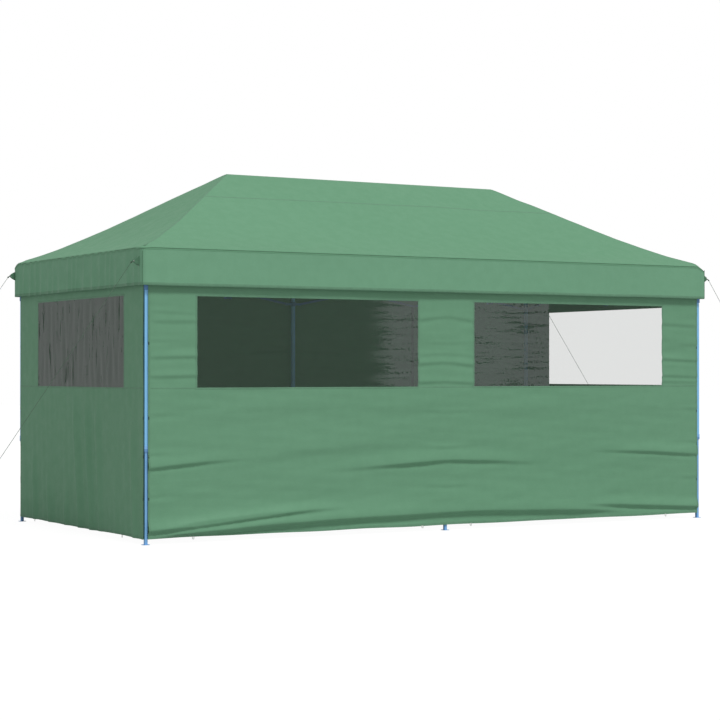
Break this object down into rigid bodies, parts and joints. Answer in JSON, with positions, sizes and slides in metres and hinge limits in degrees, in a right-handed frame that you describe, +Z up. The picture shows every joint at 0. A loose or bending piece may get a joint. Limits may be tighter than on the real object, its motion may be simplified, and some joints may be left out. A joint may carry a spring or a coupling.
{
  "type": "pop up gazebo",
  "caption": "Folding pop up gazebo with a scissor frame on telescopic legs, hipped canopy with valance, four walls with clear windows, guy ropes and pegs.",
  "frame": {"origin": "on the ground at the middle of the footprint", "axes": "+X along the long side, to the right when facing the front wall with the two windows; +Y to the back; +Z up"},
  "size_m": [9.508, 3.036, 3.278],
  "materials": {
    "frame_paint": "light blue powder coat, satin",
    "joint_plastic": "dark grey moulded nylon",
    "canopy_fabric": "green coated polyester",
    "wall_fabric": "green coated polyester",
    "window_film": "clear vinyl film",
    "guy_rope": "thin dark green braided polyester cord",
    "peg_steel": "zinc plated steel"
  },
  "bodies": {
    "front_mid_upper_leg": {"front_mid_upper_leg": "frame_paint", "canopy_roof": "canopy_fabric", "valance": "canopy_fabric", "front_wall": "wall_fabric", "back_wall": "wall_fabric", "left_wall": "wall_fabric", "right_wall": "wall_fabric", "window_films": "window_film", "guy_pegs": "peg_steel"},
    "front_left_upper_leg": {"front_left_upper_leg": "frame_paint", "front_left_guy_rope": "guy_rope"},
    "front_left_lower_leg": {"front_left_lower_leg": "frame_paint"},
    "front_left_slider": {"front_left_slider": "joint_plastic"},
    "front_mid_lower_leg": {"front_mid_lower_leg": "frame_paint"},
    "front_mid_slider": {"front_mid_slider": "joint_plastic"},
    "front_right_upper_leg": {"front_right_upper_leg": "frame_paint", "front_right_guy_rope": "guy_rope"},
    "front_right_lower_leg": {"front_right_lower_leg": "frame_paint"},
    "front_right_slider": {"front_right_slider": "joint_plastic"},
    "back_left_upper_leg": {"back_left_upper_leg": "frame_paint", "back_left_guy_rope": "guy_rope"},
    "back_left_lower_leg": {"back_left_lower_leg": "frame_paint"},
    "back_left_slider": {"back_left_slider": "joint_plastic"},
    "back_mid_upper_leg": {"back_mid_upper_leg": "frame_paint"},
    "back_mid_lower_leg": {"back_mid_lower_leg": "frame_paint"},
    "back_mid_slider": {"back_mid_slider": "joint_plastic"},
    "back_right_upper_leg": {"back_right_upper_leg": "frame_paint", "back_right_guy_rope": "guy_rope"},
    "back_right_lower_leg": {"back_right_lower_leg": "frame_paint"},
    "back_right_slider": {"back_right_slider": "joint_plastic"},
    "front_bar_1_rising": {"front_bar_1_rising": "frame_paint"},
    "front_bar_1_falling": {"front_bar_1_falling": "frame_paint"},
    "front_bar_2_rising": {"front_bar_2_rising": "frame_paint"},
    "front_bar_2_falling": {"front_bar_2_falling": "frame_paint"},
    "front_bar_3_rising": {"front_bar_3_rising": "frame_paint"},
    "front_bar_3_falling": {"front_bar_3_falling": "frame_paint"},
    "front_bar_4_rising": {"front_bar_4_rising": "frame_paint"},
    "front_bar_4_falling": {"front_bar_4_falling": "frame_paint"},
    "right_bar_1_rising": {"right_bar_1_rising": "frame_paint"},
    "right_bar_1_falling": {"right_bar_1_falling": "frame_paint"},
    "right_bar_2_rising": {"right_bar_2_rising": "frame_paint"},
    "right_bar_2_falling": {"right_bar_2_falling": "frame_paint"},
    "back_bar_1_rising": {"back_bar_1_rising": "frame_paint"},
    "back_bar_1_falling": {"back_bar_1_falling": "frame_paint"},
    "back_bar_2_rising": {"back_bar_2_rising": "frame_paint"},
    "back_bar_2_falling": {"back_bar_2_falling": "frame_paint"},
    "back_bar_3_rising": {"back_bar_3_rising": "frame_paint"},
    "back_bar_3_falling": {"back_bar_3_falling": "frame_paint"},
    "back_bar_4_rising": {"back_bar_4_rising": "frame_paint"},
    "back_bar_4_falling": {"back_bar_4_falling": "frame_paint"},
    "left_bar_1_rising": {"left_bar_1_rising": "frame_paint"},
    "left_bar_1_falling": {"left_bar_1_falling": "frame_paint"},
    "left_bar_2_rising": {"left_bar_2_rising": "frame_paint"},
    "left_bar_2_falling": {"left_bar_2_falling": "frame_paint"},
    "left_front_connector": {"left_front_connector": "joint_plastic"},
    "left_mast_bar": {"left_mast_bar": "frame_paint"},
    "left_mast": {"left_mast": "frame_paint"},
    "right_front_connector": {"right_front_connector": "joint_plastic"},
    "right_mast_bar": {"right_mast_bar": "frame_paint"},
    "right_mast": {"right_mast": "frame_paint"}
  },
  "joints": [
    {"name": "fold", "type": "hinge", "parent": "front_mid_upper_leg", "child": "front_bar_3_falling", "pos_m": [0.079, -1.45, 2.41], "axis": [0, 1, 0], "range_deg": [0, 75.8], "deforming": ["canopy_roof", "valance", "front_wall", "back_wall", "left_wall", "right_wall", "window_films"]},
    {"name": "front_bar_3_rising_pivot", "type": "hinge", "parent": "front_bar_3_falling", "child": "front_bar_3_rising", "pos_m": [0.777, -1.45, 2.2725], "axis": [0, -1, 0], "range_deg": [0, 151.8]},
    {"name": "front_mid_slider_pivot", "type": "hinge", "parent": "front_bar_3_rising", "child": "front_mid_slider", "pos_m": [0.079, -1.45, 2.135], "axis": [0, -1, 0], "range_deg": [-76, 0]},
    {"name": "front_bar_4_rising_pivot", "type": "hinge", "parent": "front_bar_3_falling", "child": "front_bar_4_rising", "pos_m": [1.475, -1.45, 2.135], "axis": [0, -1, 0], "range_deg": [0, 151.8]},
    {"name": "front_bar_4_falling_pivot", "type": "hinge", "parent": "front_bar_4_rising", "child": "front_bar_4_falling", "pos_m": [2.173, -1.45, 2.2725], "axis": [0, -1, 0], "range_deg": [-151.8, 0]},
    {"name": "front_right_upper_leg_pivot", "type": "hinge", "parent": "front_bar_4_rising", "child": "front_right_upper_leg", "pos_m": [2.871, -1.45, 2.41], "axis": [0, -1, 0], "range_deg": [-76, 0]},
    {"name": "front_right_slider_pivot", "type": "hinge", "parent": "front_bar_4_falling", "child": "front_right_slider", "pos_m": [2.871, -1.45, 2.135], "axis": [0, -1, 0], "range_deg": [0, 76]},
    {"name": "front_bar_2_rising_pivot", "type": "hinge", "parent": "front_mid_upper_leg", "child": "front_bar_2_rising", "pos_m": [-0.079, -1.45, 2.41], "axis": [0, -1, 0], "range_deg": [0, 76]},
    {"name": "front_bar_2_falling_pivot", "type": "hinge", "parent": "front_bar_2_rising", "child": "front_bar_2_falling", "pos_m": [-0.777, -1.45, 2.2725], "axis": [0, -1, 0], "range_deg": [-151.8, 0]},
    {"name": "front_bar_1_falling_pivot", "type": "hinge", "parent": "front_bar_2_rising", "child": "front_bar_1_falling", "pos_m": [-1.475, -1.45, 2.135], "axis": [0, -1, 0], "range_deg": [-151.8, 0]},
    {"name": "front_bar_1_rising_pivot", "type": "hinge", "parent": "front_bar_1_falling", "child": "front_bar_1_rising", "pos_m": [-2.173, -1.45, 2.2725], "axis": [0, -1, 0], "range_deg": [0, 151.8]},
    {"name": "front_left_upper_leg_pivot", "type": "hinge", "parent": "front_bar_1_falling", "child": "front_left_upper_leg", "pos_m": [-2.871, -1.45, 2.41], "axis": [0, -1, 0], "range_deg": [0, 76]},
    {"name": "front_left_slider_pivot", "type": "hinge", "parent": "front_bar_1_rising", "child": "front_left_slider", "pos_m": [-2.871, -1.45, 2.135], "axis": [0, -1, 0], "range_deg": [-76, 0]},
    {"name": "left_front_connector_pivot", "type": "hinge", "parent": "front_bar_2_falling", "child": "left_front_connector", "pos_m": [-1.475, -1.45, 2.41], "axis": [0, -1, 0], "range_deg": [0, 76]},
    {"name": "left_mast_bar_pivot", "type": "hinge", "parent": "left_front_connector", "child": "left_mast_bar", "pos_m": [-1.475, -1.42, 2.41], "axis": [1, 0, 0], "range_deg": [-76, 0]},
    {"name": "left_mast_pivot", "type": "hinge", "parent": "left_mast_bar", "child": "left_mast", "pos_m": [-1.475, -0.024, 2.135], "axis": [1, 0, 0], "range_deg": [0, 76]},
    {"name": "right_front_connector_pivot", "type": "hinge", "parent": "front_bar_4_falling", "child": "right_front_connector", "pos_m": [1.475, -1.45, 2.41], "axis": [0, -1, 0], "range_deg": [0, 76]},
    {"name": "right_mast_bar_pivot", "type": "hinge", "parent": "right_front_connector", "child": "right_mast_bar", "pos_m": [1.475, -1.42, 2.41], "axis": [1, 0, 0], "range_deg": [-76, 0]},
    {"name": "right_mast_pivot", "type": "hinge", "parent": "right_mast_bar", "child": "right_mast", "pos_m": [1.475, -0.024, 2.135], "axis": [1, 0, 0], "range_deg": [0, 76]},
    {"name": "right_bar_1_falling_pivot", "type": "hinge", "parent": "front_right_upper_leg", "child": "right_bar_1_falling", "pos_m": [2.95, -1.396, 2.41], "axis": [1, 0, 0], "range_deg": [-76, 0]},
    {"name": "right_bar_1_rising_pivot", "type": "hinge", "parent": "right_bar_1_falling", "child": "right_bar_1_rising", "pos_m": [2.95, -0.698, 2.2725], "axis": [1, 0, 0], "range_deg": [0, 151.8]},
    {"name": "right_bar_2_rising_pivot", "type": "hinge", "parent": "right_bar_1_falling", "child": "right_bar_2_rising", "pos_m": [2.95, 0, 2.135], "axis": [1, 0, 0], "range_deg": [0, 151.8]},
    {"name": "right_bar_2_falling_pivot", "type": "hinge", "parent": "right_bar_2_rising", "child": "right_bar_2_falling", "pos_m": [2.95, 0.698, 2.2725], "axis": [1, 0, 0], "range_deg": [-151.8, 0]},
    {"name": "back_right_upper_leg_pivot", "type": "hinge", "parent": "right_bar_2_rising", "child": "back_right_upper_leg", "pos_m": [2.95, 1.396, 2.41], "axis": [1, 0, 0], "range_deg": [-76, 0]},
    {"name": "back_right_slider_pivot", "type": "hinge", "parent": "right_bar_2_falling", "child": "back_right_slider", "pos_m": [2.95, 1.396, 2.135], "axis": [1, 0, 0], "range_deg": [0, 76]},
    {"name": "left_bar_2_rising_pivot", "type": "hinge", "parent": "front_left_upper_leg", "child": "left_bar_2_rising", "pos_m": [-2.95, -1.396, 2.41], "axis": [-1, 0, 0], "range_deg": [0, 76]},
    {"name": "left_bar_2_falling_pivot", "type": "hinge", "parent": "left_bar_2_rising", "child": "left_bar_2_falling", "pos_m": [-2.95, -0.698, 2.2725], "axis": [-1, 0, 0], "range_deg": [-151.8, 0]},
    {"name": "left_bar_1_falling_pivot", "type": "hinge", "parent": "left_bar_2_rising", "child": "left_bar_1_falling", "pos_m": [-2.95, 0, 2.135], "axis": [-1, 0, 0], "range_deg": [-151.8, 0]},
    {"name": "left_bar_1_rising_pivot", "type": "hinge", "parent": "left_bar_1_falling", "child": "left_bar_1_rising", "pos_m": [-2.95, 0.698, 2.2725], "axis": [-1, 0, 0], "range_deg": [0, 151.8]},
    {"name": "back_left_upper_leg_pivot", "type": "hinge", "parent": "left_bar_1_falling", "child": "back_left_upper_leg", "pos_m": [-2.95, 1.396, 2.41], "axis": [-1, 0, 0], "range_deg": [0, 76]},
    {"name": "back_left_slider_pivot", "type": "hinge", "parent": "left_bar_1_rising", "child": "back_left_slider", "pos_m": [-2.95, 1.396, 2.135], "axis": [-1, 0, 0], "range_deg": [-76, 0]},
    {"name": "back_bar_1_falling_pivot", "type": "hinge", "parent": "back_right_upper_leg", "child": "back_bar_1_falling", "pos_m": [2.871, 1.45, 2.41], "axis": [0, 1, 0], "range_deg": [-76, 0]},
    {"name": "back_bar_1_rising_pivot", "type": "hinge", "parent": "back_bar_1_falling", "child": "back_bar_1_rising", "pos_m": [2.173, 1.45, 2.2725], "axis": [0, 1, 0], "range_deg": [0, 151.8]},
    {"name": "back_bar_2_rising_pivot", "type": "hinge", "parent": "back_bar_1_falling", "child": "back_bar_2_rising", "pos_m": [1.475, 1.45, 2.135], "axis": [0, 1, 0], "range_deg": [0, 151.8]},
    {"name": "back_bar_2_falling_pivot", "type": "hinge", "parent": "back_bar_2_rising", "child": "back_bar_2_falling", "pos_m": [0.777, 1.45, 2.2725], "axis": [0, 1, 0], "range_deg": [-151.8, 0]},
    {"name": "back_mid_upper_leg_pivot", "type": "hinge", "parent": "back_bar_2_rising", "child": "back_mid_upper_leg", "pos_m": [0.079, 1.45, 2.41], "axis": [0, 1, 0], "range_deg": [-76, 0]},
    {"name": "back_mid_slider_pivot", "type": "hinge", "parent": "back_bar_2_falling", "child": "back_mid_slider", "pos_m": [0.079, 1.45, 2.135], "axis": [0, 1, 0], "range_deg": [0, 76]},
    {"name": "back_bar_4_rising_pivot", "type": "hinge", "parent": "back_left_upper_leg", "child": "back_bar_4_rising", "pos_m": [-2.871, 1.45, 2.41], "axis": [0, 1, 0], "range_deg": [0, 76]},
    {"name": "back_bar_4_falling_pivot", "type": "hinge", "parent": "back_bar_4_rising", "child": "back_bar_4_falling", "pos_m": [-2.173, 1.45, 2.2725], "axis": [0, 1, 0], "range_deg": [-151.8, 0]},
    {"name": "back_bar_3_falling_pivot", "type": "hinge", "parent": "back_bar_4_rising", "child": "back_bar_3_falling", "pos_m": [-1.475, 1.45, 2.135], "axis": [0, 1, 0], "range_deg": [-151.8, 0]},
    {"name": "back_bar_3_rising_pivot", "type": "hinge", "parent": "back_bar_3_falling", "child": "back_bar_3_rising", "pos_m": [-0.777, 1.45, 2.2725], "axis": [0, 1, 0], "range_deg": [0, 151.8]},
    {"name": "front_left_leg_slide", "type": "slide", "parent": "front_left_upper_leg", "child": "front_left_lower_leg", "axis": [0, 0, 1], "range_m": [0, 0.65]},
    {"name": "front_mid_leg_slide", "type": "slide", "parent": "front_mid_upper_leg", "child": "front_mid_lower_leg", "axis": [0, 0, 1], "range_m": [0, 0.65]},
    {"name": "front_right_leg_slide", "type": "slide", "parent": "front_right_upper_leg", "child": "front_right_lower_leg", "axis": [0, 0, 1], "range_m": [0, 0.65]},
    {"name": "back_left_leg_slide", "type": "slide", "parent": "back_left_upper_leg", "child": "back_left_lower_leg", "axis": [0, 0, 1], "range_m": [0, 0.65]},
    {"name": "back_mid_leg_slide", "type": "slide", "parent": "back_mid_upper_leg", "child": "back_mid_lower_leg", "axis": [0, 0, 1], "range_m": [0, 0.65]},
    {"name": "back_right_leg_slide", "type": "slide", "parent": "back_right_upper_leg", "child": "back_right_lower_leg", "axis": [0, 0, 1], "range_m": [0, 0.65]}
  ],
  "couplings": [
    {"joint": "front_bar_3_rising_pivot", "follows": "fold", "ratio": 2},
    {"joint": "front_mid_slider_pivot", "follows": "fold", "ratio": -1},
    {"joint": "front_bar_4_rising_pivot", "follows": "fold", "ratio": 2},
    {"joint": "front_bar_4_falling_pivot", "follows": "fold", "ratio": -2},
    {"joint": "front_right_upper_leg_pivot", "follows": "fold", "ratio": -1},
    {"joint": "front_right_slider_pivot", "follows": "fold", "ratio": 1},
    {"joint": "front_bar_2_rising_pivot", "follows": "fold", "ratio": 1},
    {"joint": "front_bar_2_falling_pivot", "follows": "fold", "ratio": -2},
    {"joint": "front_bar_1_falling_pivot", "follows": "fold", "ratio": -2},
    {"joint": "front_bar_1_rising_pivot", "follows": "fold", "ratio": 2},
    {"joint": "front_left_upper_leg_pivot", "follows": "fold", "ratio": 1},
    {"joint": "front_left_slider_pivot", "follows": "fold", "ratio": -1},
    {"joint": "left_front_connector_pivot", "follows": "fold", "ratio": 1},
    {"joint": "left_mast_bar_pivot", "follows": "fold", "ratio": -1},
    {"joint": "left_mast_pivot", "follows": "fold", "ratio": 1},
    {"joint": "right_front_connector_pivot", "follows": "fold", "ratio": 1},
    {"joint": "right_mast_bar_pivot", "follows": "fold", "ratio": -1},
    {"joint": "right_mast_pivot", "follows": "fold", "ratio": 1},
    {"joint": "right_bar_1_falling_pivot", "follows": "fold", "ratio": -1},
    {"joint": "right_bar_1_rising_pivot", "follows": "fold", "ratio": 2},
    {"joint": "right_bar_2_rising_pivot", "follows": "fold", "ratio": 2},
    {"joint": "right_bar_2_falling_pivot", "follows": "fold", "ratio": -2},
    {"joint": "back_right_upper_leg_pivot", "follows": "fold", "ratio": -1},
    {"joint": "back_right_slider_pivot", "follows": "fold", "ratio": 1},
    {"joint": "left_bar_2_rising_pivot", "follows": "fold", "ratio": 1},
    {"joint": "left_bar_2_falling_pivot", "follows": "fold", "ratio": -2},
    {"joint": "left_bar_1_falling_pivot", "follows": "fold", "ratio": -2},
    {"joint": "left_bar_1_rising_pivot", "follows": "fold", "ratio": 2},
    {"joint": "back_left_upper_leg_pivot", "follows": "fold", "ratio": 1},
    {"joint": "back_left_slider_pivot", "follows": "fold", "ratio": -1},
    {"joint": "back_bar_1_falling_pivot", "follows": "fold", "ratio": -1},
    {"joint": "back_bar_1_rising_pivot", "follows": "fold", "ratio": 2},
    {"joint": "back_bar_2_rising_pivot", "follows": "fold", "ratio": 2},
    {"joint": "back_bar_2_falling_pivot", "follows": "fold", "ratio": -2},
    {"joint": "back_mid_upper_leg_pivot", "follows": "fold", "ratio": -1},
    {"joint": "back_mid_slider_pivot", "follows": "fold", "ratio": 1},
    {"joint": "back_bar_4_rising_pivot", "follows": "fold", "ratio": 1},
    {"joint": "back_bar_4_falling_pivot", "follows": "fold", "ratio": -2},
    {"joint": "back_bar_3_falling_pivot", "follows": "fold", "ratio": -2},
    {"joint": "back_bar_3_rising_pivot", "follows": "fold", "ratio": 2}
  ]
}
